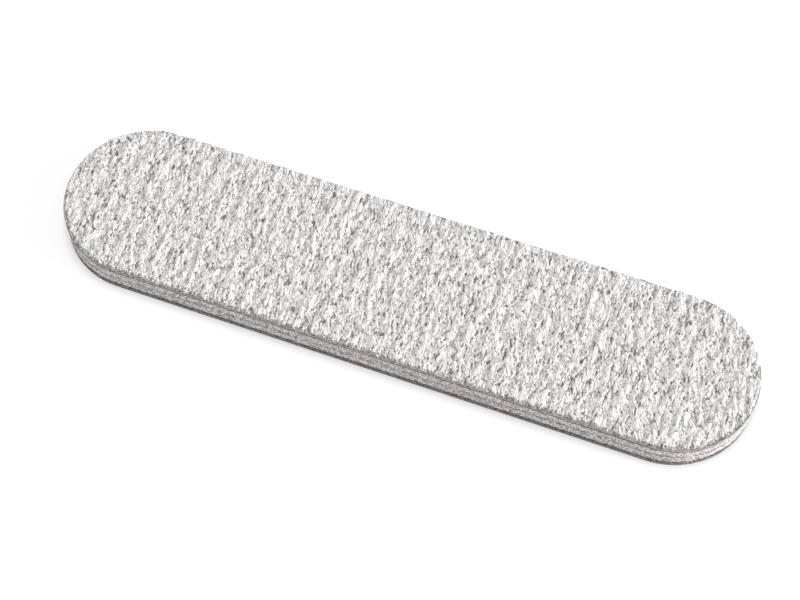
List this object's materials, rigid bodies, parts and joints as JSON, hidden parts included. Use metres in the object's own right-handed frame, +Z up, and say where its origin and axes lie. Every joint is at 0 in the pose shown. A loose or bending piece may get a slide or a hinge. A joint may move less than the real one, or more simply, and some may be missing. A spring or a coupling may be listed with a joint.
{
  "type": "emery board",
  "caption": "Two-sided laminated emery board with round ends, a greyboard core and coarse ridged abrasive on both faces, for shaping nails.",
  "frame": {"origin": "middle of the underside, in the plane of the lower ridges' crests", "axes": "+X along the board, +Y across it, +Z up out of the upper abrasive face"},
  "size_m": [0.09, 0.021, 0.0047],
  "materials": {
    "core_board_lower": "matte",
    "core_board_upper": "matte",
    "core_glue": "matte",
    "film_glue_bottom": "matte",
    "film_glue_top": "matte",
    "paper_bottom": "matte",
    "paper_top": "matte",
    "bond_resin_bottom": "matte",
    "bond_resin_top": "matte",
    "grain_bottom": "matte",
    "grain_top": "matte"
  },
  "bodies": {
    "root": {"core_ply_lower": "core_board_lower", "core_ply_upper": "core_board_upper", "core_glue_line": "core_glue", "glue_film_bottom": "film_glue_bottom", "glue_film_top": "film_glue_top", "backing_paper_bottom": "paper_bottom", "backing_paper_top": "paper_top", "bond_coat_bottom": "bond_resin_bottom", "bond_coat_top": "bond_resin_top", "grain_coat_bottom": "grain_bottom", "grain_coat_top": "grain_top"}
  },
  "joints": []
}
